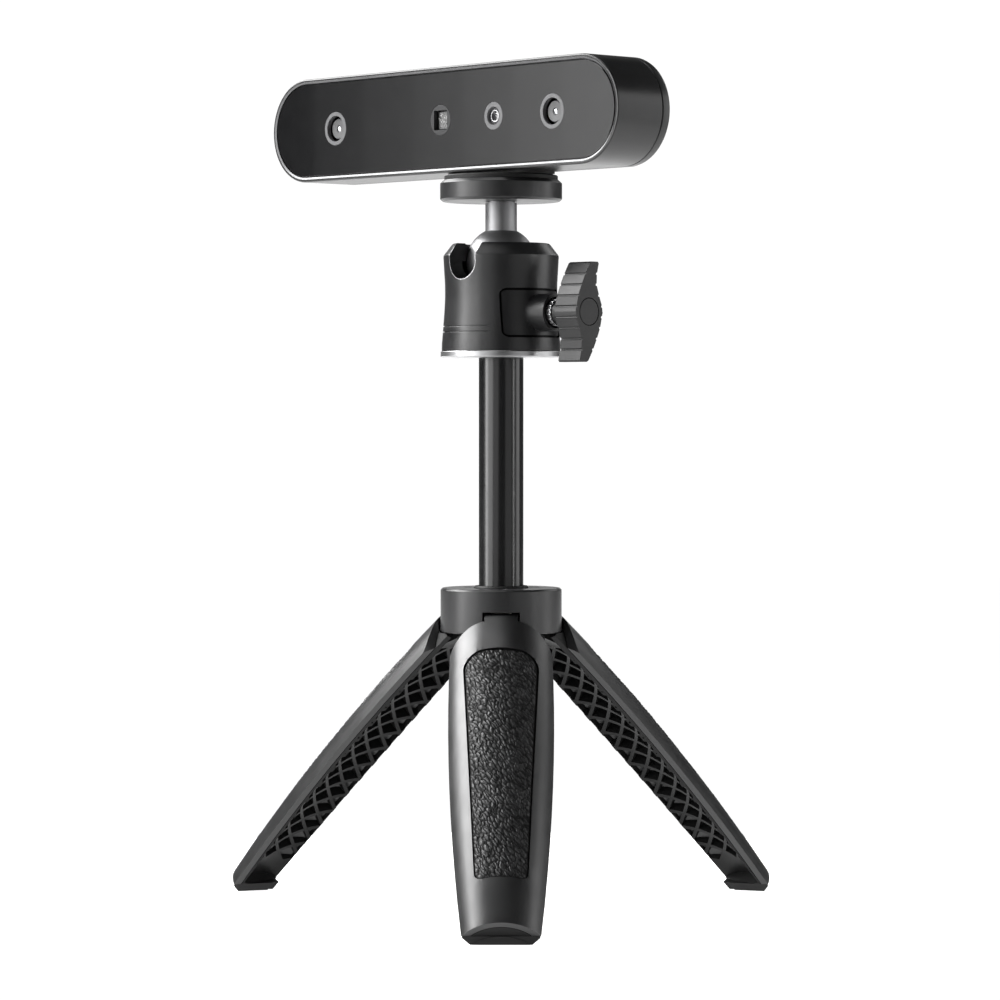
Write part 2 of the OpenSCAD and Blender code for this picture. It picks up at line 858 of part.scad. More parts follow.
module usb_socket() {
  color([0.7, 0.7, 0.71])
  scanner_place()
  translate([-28, 0, 0])
    union() {
      difference() {
        translate([0, 0, 17.2]) rounded_hole(8.94, 3.2, 8.3);
        translate([0, 0, 18.6]) rounded_hole(8.34, 2.6, 10);
      }
      translate([-3.3, -0.35, 18.5]) cube([6.6, 0.7, 5.9]);
    }
}

module status_light() {
  color([0.75, 0.85, 0.8])
  scanner_place()
  translate([14, 0, 17.3]) cylinder(r = 0.95, h = scanner_d - 17.35, $fn = 32);
}

module scan_button() {
  color([0.12, 0.12, 0.12])
  scanner_place()
  rotate_extrude($fn = 64)
    polygon([[0, 21.0], [3.9, 21.0], [3.9, 22.4], [4.9, 22.4], [4.9, 23.4], [3.9, 23.4],
             [3.9, scanner_d + 0.15], [3.5, scanner_d + 0.5], [0, scanner_d + 0.6]]);
}

module tripod_bush() {
  color([0.7, 0.65, 0.5])
  scanner_place()
  translate([thread_x, 0, scanner_d / 2])
    rotate([-90, 0, 0])
      difference() {
        translate([0, 0, half_h - 8.6]) cylinder(r = 6.0, h = 8.6, $fn = 64);
        translate([0, 0, half_h - 7.6]) cylinder(r = 3.25, h = 10, $fn = 48);
      }
}

module mount_foot() {
  color([0.05, 0.05, 0.05])
  scanner_place()
  translate([thread_x, half_h, scanner_d / 2])
    rotate([-90, 0, 0])
      difference() {
        linear_extrude(1.05)
          union() {
            square([30, 18], center = true);
            for (side = [-1, 1]) translate([side * 15, 0]) circle(9, $fn = 64);
          }
        translate([0, 0, -1]) cylinder(r = 3.4, h = 5, $fn = 48);
      }
}

module inner_chassis() {
  color([0.6, 0.6, 0.62])
  scanner_place()
  difference() {
    union() {
      translate([-82, -13, 14.5]) cube([164, 26, 1.0]);
      for (x = [-82, 80.5]) translate([x, -10, 4]) cube([1.5, 20, 10.6]);
    }
    for (x = [left_x, right_x]) translate([x - 3, -3, 10]) cube([6, 6, 8]);
    rear_screw_places() translate([0, 0, 10]) cylinder(r = 1.35, h = 8, $fn = 32);
    for (x = [-66, 70], y = [-8, 8])
      translate([x, y, 10]) cylinder(r = 0.85, h = 8, $fn = 32);
    translate([thread_x, 17, scanner_d / 2]) rotate([90, 0, 0]) cylinder(r = 6.2, h = 8, $fn = 48);
  }
}

module main_board() {
  color([0.05, 0.3, 0.15])
  scanner_place()
  difference() {
    union() {
      translate([-70, -12, 15.55]) cube([144, 22, 1.6]);
      translate([-52, -8, 17.1]) cube([14, 14, 1.6]);
      translate([34, -9, 17.1]) cube([18, 12, 1.4]);
      translate([-3, -3, 17.1]) cube([6, 6, 3.2]);
    }
    for (x = [-66, 70], y = [-8, 8])
      translate([x, y, 10]) cylinder(r = 1.1, h = 10, $fn = 32);
  }
}

module board_screws() {
  color([0.6, 0.6, 0.6])
  scanner_place()
  for (x = [-66, 70], y = [-8, 8])
    translate([x, y, 0]) {
      translate([0, 0, 17.2]) cylinder(r = 1.8, h = 1.1, $fn = 32);
      translate([0, 0, 14.6]) cylinder(r = 0.8, h = 3, $fn = 32);
    }
}

// ---------------------------------------------------------------- nodes
module colour_shell() { color([0.14, 0.14, 0.145]) children(); }
module colour_frame() { color([0.08, 0.08, 0.08]) children(); }
module colour_grip() { color([0.17, 0.17, 0.18]) children(); }
module colour_foot() { color([0.06, 0.06, 0.06]) children(); }

collar();
hinge_block();
pole_bush();
pole_wiper_ring();
hub_screws();
hinge_pins();
colour_shell() open_leg(front_az) leg_shell();  // front_leg_shell
colour_frame() open_leg(front_az) leg_frame();  // front_leg_frame
colour_grip() open_leg(front_az) leg_grip();  // front_leg_grip
colour_foot() open_leg(front_az) leg_foot();  // front_leg_foot
colour_shell() open_leg(right_az) leg_shell();  // right_leg_shell
colour_frame() open_leg(right_az)  // right_leg_frame
  difference() { leg_frame(); lanyard_slot(); }
colour_grip() open_leg(right_az) leg_grip();  // right_leg_grip
colour_foot() open_leg(right_az) leg_foot();  // right_leg_foot
colour_shell() open_leg(left_az) leg_shell();  // left_leg_shell
colour_frame() open_leg(left_az) leg_frame();  // left_leg_frame
colour_grip() open_leg(left_az) leg_grip();  // left_leg_grip
colour_foot() open_leg(left_az) leg_foot();  // left_leg_foot
pole_tube();
pole_stop_ring();
pole_head_plug();
base_ring();
head_body();
seat_pusher();
seat_spring();
ball_seat();
clamp_pin();
knob();
knob_cap();
knob_screw();
knob_washer();
ball_stem();
mount_disc();
disc_pad();
mount_screw();
front_housing();
bezel_ring();
front_glass();
rear_cover();
rear_cover_screws();
tripod_bush();
mount_foot();
inner_chassis();
main_board();
board_screws();
camera_ring(left_x);  // left_camera_ring
camera_barrel(left_x);  // left_camera_barrel
camera_lens(left_x);  // left_camera_lens
camera_ring(right_x);  // right_camera_ring
camera_barrel(right_x);  // right_camera_barrel
camera_lens(right_x);  // right_camera_lens
colour_camera_ring();
colour_camera_lens();
projector_ring();
projector_engine();
usb_socket();
status_light();
scan_button();
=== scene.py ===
import math
import random

import bpy
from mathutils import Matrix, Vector, noise


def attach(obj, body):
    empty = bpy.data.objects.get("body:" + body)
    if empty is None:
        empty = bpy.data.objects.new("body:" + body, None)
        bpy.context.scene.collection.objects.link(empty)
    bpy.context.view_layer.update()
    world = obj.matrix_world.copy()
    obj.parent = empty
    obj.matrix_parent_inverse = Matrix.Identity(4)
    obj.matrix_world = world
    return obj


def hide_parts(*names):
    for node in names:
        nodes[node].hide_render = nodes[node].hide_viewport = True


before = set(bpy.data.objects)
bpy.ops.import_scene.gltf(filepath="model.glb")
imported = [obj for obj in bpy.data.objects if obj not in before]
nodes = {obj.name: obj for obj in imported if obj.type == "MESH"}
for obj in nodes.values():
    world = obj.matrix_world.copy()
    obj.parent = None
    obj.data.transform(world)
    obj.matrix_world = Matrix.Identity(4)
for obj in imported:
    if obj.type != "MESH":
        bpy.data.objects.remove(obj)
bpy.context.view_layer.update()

scene = bpy.context.scene
MM = 0.001

# ---------------------------------------------------------------- camera
LENS_MM = 145.2852
SENSOR_MM = 36.0
CAMERA_DROP = math.radians(1.2417)     # how far it looks below the horizontal
camera_data = bpy.data.cameras.new("camera")
camera_data.sensor_width = SENSOR_MM
camera_data.lens = LENS_MM
camera = bpy.data.objects.new("camera", camera_data)
scene.collection.objects.link(camera)
camera.location = (-0.0004, -1.4442, 0.1769)
camera.rotation_euler = (math.pi / 2 - CAMERA_DROP, 0, 0)
scene.camera = camera


# ---------------------------------------------------------------- materials
def principled(name):
    """New material, its node tree and its shader."""
    mat = bpy.data.materials.new(name)
    mat.use_nodes = True
    tree = mat.node_tree
    return mat, tree, tree.nodes["Principled BSDF"]


def link(tree, a, b):
    tree.links.new(a, b)


def object_coords(tree):
    return tree.nodes.new("ShaderNodeTexCoord").outputs["Object"]


def noise_node(tree, coords, scale, detail=3.0, rough=0.55):
    n = tree.nodes.new("ShaderNodeTexNoise")
    n.inputs["Scale"].default_value = scale
    n.inputs["Detail"].default_value = detail
    n.inputs["Roughness"].default_value = rough
    link(tree, coords, n.inputs["Vector"])
    return n.outputs["Fac"]


def map_range(tree, value, a, b, c, d):
    """The value taken from the range a to b into the range c to d, clamped."""
    n = tree.nodes.new("ShaderNodeMapRange")
    for key, number in zip(("From Min", "From Max", "To Min", "To Max"), (a, b, c, d)):
        n.inputs[key].default_value = number
    link(tree, value, n.inputs["Value"])
    return n.outputs["Result"]


def maths(tree, operation, first, second=None):
    """Math node; each operand is a socket or a number."""
    node = tree.nodes.new("ShaderNodeMath")
    node.operation = operation
    for slot, operand in enumerate((first, second)):
        if isinstance(operand, (int, float)):
            node.inputs[slot].default_value = operand
        elif operand is not None:
            link(tree, operand, node.inputs[slot])
    return node.outputs[0]


def mix_colour(tree, factor, a, b):
    """Colour a where the factor is 0, b where it is 1; each is a tuple or a socket."""
    n = tree.nodes.new("ShaderNodeMix")
    n.data_type = "RGBA"
    link(tree, factor, n.inputs["Factor"])
    for socket, value in ((n.inputs[6], a), (n.inputs[7], b)):
        if isinstance(value, tuple):
            socket.default_value = (*value, 1.0)
        else:
            link(tree, value, socket)
    return n.outputs[2]


def along_axis(tree, coords, axis):
    """Distance along a direction."""
    dot = tree.nodes.new("ShaderNodeVectorMath")
    dot.operation = "DOT_PRODUCT"
    dot.inputs[1].default_value = axis
    link(tree, coords, dot.inputs[0])
    return dot.outputs["Value"]


def bump(tree, bsdf, height, strength, distance_mm):
    node = tree.nodes.new("ShaderNodeBump")
    node.inputs["Strength"].default_value = strength
    node.inputs["Distance"].default_value = distance_mm * MM
    link(tree, height, node.inputs["Height"])
    link(tree, node.outputs["Normal"], bsdf.inputs["Normal"])


def edge_mask(tree, radius_mm, low=0.72, high=0.995):
    """1 where the surface turns sharply, for worn edges."""
    bevel = tree.nodes.new("ShaderNodeBevel")
    bevel.samples = 4
    bevel.inputs["Radius"].default_value = radius_mm * MM
    geometry = tree.nodes.new("ShaderNodeNewGeometry")
    dot = tree.nodes.new("ShaderNodeVectorMath")
    dot.operation = "DOT_PRODUCT"
    link(tree, bevel.outputs["Normal"], dot.inputs[0])
    link(tree, geometry.outputs["Normal"], dot.inputs[1])
    return map_range(tree, dot.outputs["Value"], low, high, 1.0, 0.0)


def scaled(colour, k):
    return tuple(min(1.0, c * k) for c in colour)


def surface(name, colour, rough, metallic=0.0, spread=0.18, cloud=60.0, grain=2500.0, bumpy=0.25,
            bump_mm=0.02, rough_spread=0.05, coat=0.0, coat_rough=0.08, specular=0.5, wear=0.0,
            stretch=None):
    """A moulded, painted or machined surface: cloudy colour, uneven gloss, fine grain, worn edges."""
    mat, tree, bsdf = principled(name)
    coords = object_coords(tree)
    if stretch:
        mapping = tree.nodes.new("ShaderNodeMapping")
        mapping.inputs["Scale"].default_value = stretch
        link(tree, coords, mapping.inputs["Vector"])
        grain_coords = mapping.outputs["Vector"]
    else:
        grain_coords = coords
    clouds = noise_node(tree, coords, cloud, 4.0)
    base = mix_colour(tree, map_range(tree, clouds, 0.3, 0.7, 0.0, 1.0),
                      scaled(colour, 1 - spread), scaled(colour, 1 + spread))
    if wear:
        scratches = noise_node(tree, coords, 700.0, 3.0)
        worn = maths(tree, "MULTIPLY", edge_mask(tree, 0.25),
                     map_range(tree, scratches, 0.42, 0.62, 0.0, wear))
        base = mix_colour(tree, worn, base, scaled(colour, 4.0))
    link(tree, base, bsdf.inputs["Base Color"])
    fine = noise_node(tree, grain_coords, grain, 2.0)
    smudges = noise_node(tree, coords, 110.0, 5.0, 0.6)
    link(tree, map_range(tree, smudges, 0.3, 0.7, max(0.02, rough - rough_spread), rough + rough_spread),
         bsdf.inputs["Roughness"])
    bump(tree, bsdf, fine, bumpy, bump_mm)
    bsdf.inputs["Metallic"].default_value = metallic
    bsdf.inputs["Specular IOR Level"].default_value = specular
    bsdf.inputs["Coat Weight"].default_value = coat
    bsdf.inputs["Coat Roughness"].default_value = coat_rough
    return mat


def coated_lens():
    """Dark coated glass with a faint tint."""
    mat, tree, bsdf = principled("camera_lens_glass")
    coords = object_coords(tree)
    dust = noise_node(tree, coords, 900.0, 3.0)
    link(tree, map_range(tree, dust, 0.3, 0.8, 0.04, 0.10), bsdf.inputs["Roughness"])
    link(tree, mix_colour(tree, noise_node(tree, coords, 250.0), (0.012, 0.012, 0.014),
                          (0.020, 0.019, 0.024)), bsdf.inputs["Base Color"])
    bsdf.inputs["Coat Weight"].default_value = 1.0
    bsdf.inputs["Coat Roughness"].default_value = 0.03
    bsdf.inputs["IOR"].default_value = 1.7
    return mat


BLACK = (0.009, 0.009, 0.0095)
# The head's own directions at rest: towards the stem notch, and towards the knob.
NOTCH_WAY = (-math.sqrt(0.5), -math.sqrt(0.5), 0.0)
KNOB_WAY = (math.sqrt(0.5), -math.sqrt(0.5), 0.0)


def panel_and_groove_shade_masks(tree, along, outwards, up):
    """Masks of the sunk panel behind the knob and of the groove round it, where shade is painted."""
    knob_z, half_w, half_h, corner, groove_w = 0.2122, 0.0145, 0.0086, 0.0021, 0.00065
    over_w = maths(tree, "SUBTRACT", maths(tree, "ABSOLUTE", along), half_w - corner)
    over_h = maths(tree, "SUBTRACT",
                   maths(tree, "ABSOLUTE", maths(tree, "SUBTRACT", up, knob_z)), half_h - corner)
    out_w, out_h = maths(tree, "MAXIMUM", over_w, 0.0), maths(tree, "MAXIMUM", over_h, 0.0)
    reach = maths(tree, "SQRT", maths(tree, "ADD", maths(tree, "MULTIPLY", out_w, out_w),
                                      maths(tree, "MULTIPLY", out_h, out_h)))
    within = maths(tree, "MINIMUM", maths(tree, "MAXIMUM", over_w, over_h), 0.0)
    edge = maths(tree, "SUBTRACT", maths(tree, "ADD", reach, within), corner)
    knob_side = map_range(tree, outwards, 0.008, 0.0085, 0.0, 1.0)
    panel = maths(tree, "MULTIPLY", knob_side, map_range(tree, edge, 0.0002, 0.0001, 0.0, 1.0))
    # This groove mask carries painted shade: the head's material colours the groove near black and dulls it.
    groove = maths(tree, "MULTIPLY", panel,
                   map_range(tree, edge, -groove_w - 0.0001, -groove_w, 0.0, 1.0))
    return panel, groove


def notch_mask(tree, along, side, up):
    """Mask of the machined chamfer round the stem notch: the sharp edges that are far out on the notch's
    side, high up and near its middle."""
    far_out, high_up, near_middle = (0.0168, 0.0172), (0.222, 0.2225), (0.0078, 0.0074)
    mask = edge_mask(tree, 0.5, 0.86, 0.985)
    for value, (unlit, lit) in ((along, far_out), (up, high_up),
                                (maths(tree, "ABSOLUTE", side), near_middle)):
        mask = maths(tree, "MULTIPLY", mask, map_range(tree, value, unlit, lit, 0.0, 1.0))
    return mask


def head_finish():
    """Black head with a bright machined chamfer round the stem notch, and painted shade in the groove round
    the panel.
    """
    mat = surface("head_anodised", BLACK, 0.34, spread=0.2, wear=0.2, bumpy=0.2, grain=3500)
    tree = mat.node_tree
    bsdf = tree.nodes["Principled BSDF"]
    coords = object_coords(tree)
    along, outwards = along_axis(tree, coords, NOTCH_WAY), along_axis(tree, coords, KNOB_WAY)
    up = along_axis(tree, coords, (0.0, 0.0, 1.0))
    chamfer = notch_mask(tree, along, outwards, up)
    panel, groove = panel_and_groove_shade_masks(tree, along, outwards, up)
    painted = bsdf.inputs["Base Color"].links[0].from_socket
    # Painted shade: the groove round the panel is coloured near black.
    painted = mix_colour(tree, groove, painted, (0.0008, 0.0008, 0.0008))
    link(tree, mix_colour(tree, chamfer, painted, (0.62, 0.62, 0.63)), bsdf.inputs["Base Color"])
    # The panel is a little duller; in the groove the gloss is cut almost to nothing, as part of its painted
    # shade.
    gloss = maths(tree, "SUBTRACT", map_range(tree, panel, 0.0, 1.0, 0.5, 0.3),
                  maths(tree, "MULTIPLY", groove, 0.26))
    link(tree, gloss, bsdf.inputs["Specular IOR Level"])
    link(tree, chamfer, bsdf.inputs["Metallic"])
    return mat


materials = {
    "anodised": surface("black_anodised", BLACK, 0.36, spread=0.2, wear=0.25, bumpy=0.2, grain=3500),
    "head": head_finish(),
    "pole": surface("pole_gloss", (0.007, 0.007, 0.0073), 0.20, spread=0.15, rough_spread=0.03,
                    bumpy=0.08, grain=900, stretch=(1, 1, 0.05)),
    "shell": surface("leg_satin", (0.006, 0.006, 0.0063), 0.38, coat=0.3, coat_rough=0.3, specular=0.46,
                     spread=0.15, wear=0.15, bumpy=0.3, grain=4200),
    "frame": surface("leg_inner", (0.004, 0.004, 0.004), 0.52, spread=0.25, bumpy=0.4, grain=2600,
                     wear=0.2, specular=0.2),
    "rubber": surface("rubber", (0.007, 0.007, 0.007), 0.58, specular=0.26, spread=0.25, bumpy=0.5,
                      grain=2200, bump_mm=0.04),
    "knob": surface("knob_plastic", (0.0075, 0.0075, 0.0078), 0.34, specular=0.27, spread=0.15,
                    wear=0.12, grain=3000),
    "housing": surface("housing_paint", (0.006, 0.006, 0.0063), 0.30, spread=0.1, wear=0.04,
                       rough_spread=0.02, bumpy=0.3, grain=4000),
    "cover": surface("cover_paint", (0.007, 0.007, 0.0073), 0.36, spread=0.08, wear=0.12, bumpy=0.3,
                     rough_spread=0.012, grain=4000),
    "bezel": surface("bright_chamfer", (0.10, 0.10, 0.102), 0.36, metallic=0.9, spread=0.06, bumpy=0.1,
                     grain=1500),
    "ring": surface("lens_ring", (0.085, 0.085, 0.088), 0.5, spread=0.1, bumpy=0.2, grain=2500),
    "window": surface("projector_window_ring", (0.04, 0.04, 0.041), 0.5, specular=0.12, spread=0.1,
                      bumpy=0.2, grain=2500),
    "barrel": surface("lens_barrel", (0.075, 0.075, 0.077), 0.5, spread=0.15, bumpy=0.3, grain=2500),
    "bright": surface("turned_aluminium", (0.38, 0.38, 0.385), 0.34, metallic=1.0, spread=0.06,
                      bumpy=0.25, grain=700, stretch=(0.2, 0.2, 9)),
    "stem": surface("stem_aluminium", (0.23, 0.23, 0.235), 0.44, metallic=0.9, spread=0.08, bumpy=0.2,
                    grain=1800, stretch=(0.4, 0.4, 3)),
    "steel": surface("zinc_steel", (0.55, 0.55, 0.56), 0.32, metallic=1.0, spread=0.12, bumpy=0.25,
                     grain=1500),
    "dark_steel": surface("black_oxide", (0.05, 0.05, 0.05), 0.36, metallic=0.6, spread=0.2, bumpy=0.2,
                          grain=1500, wear=0.4),
    "brass": surface("brass", (0.62, 0.46, 0.22), 0.3, metallic=1.0, spread=0.1, bumpy=0.2, grain=1200),
    "acetal": surface("acetal", (0.62, 0.61, 0.56), 0.42, spread=0.05, bumpy=0.2, grain=1500),
    "board": surface("circuit_board", (0.01, 0.05, 0.022), 0.4, spread=0.3, bumpy=0.3, grain=900,
                     cloud=250),
    "sheet": surface("sheet_aluminium", (0.6, 0.6, 0.61), 0.4, metallic=1.0, spread=0.08, bumpy=0.2,
                     grain=900, stretch=(1, 6, 6)),
    "pipe": surface("light_pipe", (0.45, 0.55, 0.5), 0.3, spread=0.1, bumpy=0.1),
    "glass": surface("smoked_glass", (0.004, 0.004, 0.0043), 0.12, spread=0.1, grain=300.0, bumpy=0.02,
                     rough_spread=0.02, coat=0.6, coat_rough=0.03, specular=0.6),
    "lens": coated_lens(),
    # Painted highlight: bright metal colour given to the cameras' glass front elements.
    "painted_lens_highlight": surface("lens_front_painted_highlight", (0.75, 0.76, 0.78), 0.22, metallic=1.0, spread=0.05, bumpy=0.05),
}

NODE_LOOKS = {
    "anodised": ["collar", "mount_disc"],
    "head": ["head_body"],
    "pole": ["pole_tube"],
    "rubber": ["pole_wiper_ring", "disc_pad", "mount_foot", "pole_stop_ring"],
    "knob": ["knob", "knob_cap"],
    "housing": ["front_housing"],
    "cover": ["rear_cover", "scan_button"],
    "bezel": ["bezel_ring"],
    "ring": ["left_camera_ring", "right_camera_ring", "colour_camera_ring"],
    "window": ["projector_ring"],
    "barrel": ["left_camera_barrel", "right_camera_barrel", "projector_engine"],
    "bright": ["base_ring"],
    "stem": ["ball_stem", "pole_head_plug"],
    "steel": ["hinge_pins", "mount_screw", "knob_screw", "knob_washer", "seat_spring",
              "usb_socket", "board_screws"],
    "dark_steel": ["rear_cover_screws", "hub_screws"],
    "brass": ["tripod_bush", "clamp_pin", "seat_pusher"],
    "acetal": ["pole_bush", "ball_seat"],
    "board": ["main_board"],
    "sheet": ["inner_chassis"],
    "pipe": ["status_light"],
    "glass": ["front_glass"],
    "lens": ["left_camera_lens", "right_camera_lens", "colour_camera_lens"],
    "frame": ["hinge_block"],
    "shell": [],
}
for side in ("front", "right", "left"):
    NODE_LOOKS["shell"].append(f"{side}_leg_shell")
    NODE_LOOKS["frame"].append(f"{side}_leg_frame")
    NODE_LOOKS["rubber"].append(f"{side}_leg_foot")


def smooth_group():
    """Shades smooth except across edges sharper than the angle given."""
    group = bpy.data.node_groups.new("smooth_by_angle", "GeometryNodeTree")
    group.interface.new_socket("Geometry", in_out="INPUT", socket_type="NodeSocketGeometry")
    group.interface.new_socket("Geometry", in_out="OUTPUT", socket_type="NodeSocketGeometry")
    n = group.nodes
    source, out = n.new("NodeGroupInput"), n.new("NodeGroupOutput")
    faces, edges = n.new("GeometryNodeSetShadeSmooth"), n.new("GeometryNodeSetShadeSmooth")
    faces.domain, edges.domain = "FACE", "EDGE"
    faces.inputs["Shade Smooth"].default_value = True
    edges.inputs["Shade Smooth"].default_value = False
    angle, compare = n.new("GeometryNodeInputMeshEdgeAngle"), n.new("FunctionNodeCompare")
    compare.operation = "GREATER_THAN"
    compare.inputs[1].default_value = math.radians(24)
    link(group, angle.outputs["Unsigned Angle"], compare.inputs[0])
    link(group, source.outputs[0], faces.inputs["Geometry"])
    link(group, faces.outputs[0], edges.inputs["Geometry"])
    link(group, compare.outputs[0], edges.inputs["Selection"])
    link(group, edges.outputs[0], out.inputs[0])
    return group


def round_edges(obj, width_mm):
    """Flat faces are merged first, so that the bevel runs cleanly round each."""
    flat = obj.modifiers.new("flat", "DECIMATE")
    flat.decimate_type = "DISSOLVE"
    flat.angle_limit = math.radians(0.2)
    bevel = obj.modifiers.new("rounded", "BEVEL")
    bevel.width = width_mm * MM
    bevel.segments = 2
    bevel.limit_method = "ANGLE"
    bevel.angle_limit = math.radians(30)
    bevel.use_clamp_overlap = True


# Softened edges, in mm, of the nodes that show one.
EDGE_MM = {
    "knob": 0.14, "knob_cap": 0.12, "front_housing": 0.1, "mount_disc": 0.2, "collar": 0.15,
    "rear_cover": 0.1, "base_ring": 0.08, "head_body": 0.3,
}
for side in ("front", "right", "left"):
    EDGE_MM[f"{side}_leg_shell"] = 0.35
    EDGE_MM[f"{side}_leg_foot"] = 0.3


def dress(name, material, smooth_by_angle):
    """Gives a CAD node its material, clean shading and softened edges."""
    obj = nodes[name]
    obj.data.materials.clear()
    obj.data.materials.append(material)
    weld = obj.modifiers.new("weld", "WELD")
    weld.merge_threshold = 2e-6
    if name in EDGE_MM:
        round_edges(obj, EDGE_MM[name])
    smooth = obj.modifiers.new("smooth", "NODES")
    smooth.node_group = smooth_by_angle
    even = obj.modifiers.new("even", "WEIGHTED_NORMAL")
    even.keep_sharp = True
    even.weight = 90


shading = smooth_group()
for look, names in NODE_LOOKS.items():
    for name in names:
        dress(name, materials[look], shading)


# ---------------------------------------------------------------- mesh helpers
def mesh_object(name, vertices, faces, material, shade_smooth=True):
    mesh = bpy.data.meshes.new(name)
    mesh.from_pydata([tuple(v) for v in vertices], [], faces)
    mesh.validate()
    mesh.materials.append(material)
    mesh.polygons.foreach_set("use_smooth", [shade_smooth] * len(mesh.polygons))
    obj = bpy.data.objects.new(name, mesh)
    scene.collection.objects.link(obj)
    return obj


def store_heights(obj, heights):
    """Keeps a height for each vertex, which the material reads; on the grips it also sets the painted crease
    shade.
    """
    attribute = obj.data.attributes.new("height", "FLOAT", "POINT")
    attribute.data.foreach_set("value", heights)


def height_node(tree):
    attribute = tree.nodes.new("ShaderNodeAttribute")
    attribute.attribute_name = "height"
    return attribute.outputs["Fac"]


# ---------------------------------------------------------------- leg grips
PIVOT_R, PIVOT_Z, LEG_OPEN = 12.0, 102.5, math.radians(45)
AZIMUTHS = {"front": math.radians(-90), "right": math.radians(30), "left": math.radians(150)}


def barrel_r(s):
    """Radius in mm of the closed legs' barrel, at a distance down from the hinge pins."""
    x = s / 140
    return 20.45 + 7.27 * x - 12.52 * x * x


def leg_to_row(u, t, s, azimuth):
    """Closed-leg coordinates in mm (outward, across, down from the pin) to the open leg in the row frame."""
    du, dz = u - PIVOT_R, -s
    c, n = math.cos(LEG_OPEN), math.sin(LEG_OPEN)
    r = PIVOT_R + du * c - dz * n
    z = PIVOT_Z + du * n + dz * c
    return Vector((r * math.cos(azimuth) - t * math.sin(azimuth),
                   r * math.sin(azimuth) + t * math.cos(azimuth), z)) * MM


def rounded_half_width(s, top_s, end_s, top_t, end_t, top_r, end_r):
    """Half width of the grip's outline at a distance down the leg."""
    t = top_t + (end_t - top_t) * (s - top_s) / (end_s - top_s)
    if s < top_s + top_r:
        d = top_s + top_r - s
        t = t - top_r + math.sqrt(max(0.0, top_r * top_r - d * d))
    if s > end_s - end_r:
        d = s - (end_s - end_r)
        t = t - end_r + math.sqrt(max(0.0, end_r * end_r - d * d))
    return max(t, 0.0)


def pebbles(point):
    """1 inside the cells of a Voronoi pattern, falling to 0 in the creases between them."""
    nearest, second = noise.voronoi(point, distance_metric="DISTANCE")[0][:2]
    return min(1.0, max(0.0, (second - nearest) * 2.6))


def leather_height(t, s, seed):
    """Height of the leather grain, 0 to 1: long slanted pebbles parted by creases, with fine wrinkles."""
    slant = math.radians(32)
    warp = noise.noise(Vector((t * 0.3, s * 0.22, seed))) * 0.7
    a = (t * math.cos(slant) - s * math.sin(slant)) + warp
    b = (t * math.sin(slant) + s * math.cos(slant)) + warp * 0.6
    coarse = pebbles(Vector((a * 0.95, b * 0.36, seed * 3.1)))
    fine = pebbles(Vector((a * 2.1, b * 0.95, seed * 1.7 + 5)))
    swell = noise.noise(Vector((t * 0.2, s * 0.12, seed + 9))) * 0.25
    return 0.66 * coarse ** 0.7 + 0.24 * fine + 0.10 * noise.noise(Vector((t * 4, s * 4, seed))) + swell


def leather_material():
    """Black leather with painted shade down in its creases: darker and duller there."""
    mat, tree, bsdf = principled("leather_grain")
    coords = object_coords(tree)
    height = height_node(tree)
    clouds = noise_node(tree, coords, 120.0, 4.0)
    ridge = mix_colour(tree, map_range(tree, clouds, 0.3, 0.7, 0.0, 1.0), (0.007, 0.007, 0.0073),
                       (0.013, 0.013, 0.0135))
    # Painted shade: the colour falls to near black where the stored height is low, in the creases and at the
    # grip's rim.
    base = mix_colour(tree, map_range(tree, height, 0.15, 0.8, 0.0, 1.0), (0.002, 0.002, 0.002), ridge)
    link(tree, base, bsdf.inputs["Base Color"])
    # Gloss also falls in the creases, adding to the painted shade.
    link(tree, map_range(tree, height, 0.25, 0.8, 0.18, 0.5), bsdf.inputs["Specular IOR Level"])
    link(tree, map_range(tree, height, 0.1, 0.9, 0.62, 0.33), bsdf.inputs["Roughness"])
    bump(tree, bsdf, noise_node(tree, coords, 3800.0, 3.0), 0.4, 0.03)
    return mat


# Outline of a grip: distances down the leg, half widths and corner radii, in mm.
GRIP = dict(top_s=20.5, end_s=119.0, top_t=13.0, end_t=8.95, top_r=6.8, end_r=2.9)
GRIP_ROWS, GRIP_COLUMNS = 420, 120


def grip_place(i, j):
    """Distance down the leg, half width there and distance across, of a point of the grip's net."""
    s = GRIP["top_s"] + (GRIP["end_s"] - GRIP["top_s"]) * i / GRIP_ROWS
    half = rounded_half_width(s, **GRIP)
    v = j / GRIP_COLUMNS * 2 - 1
    return s, half, half * (0.35 * math.sin(v * math.pi / 2) + 0.65 * v)


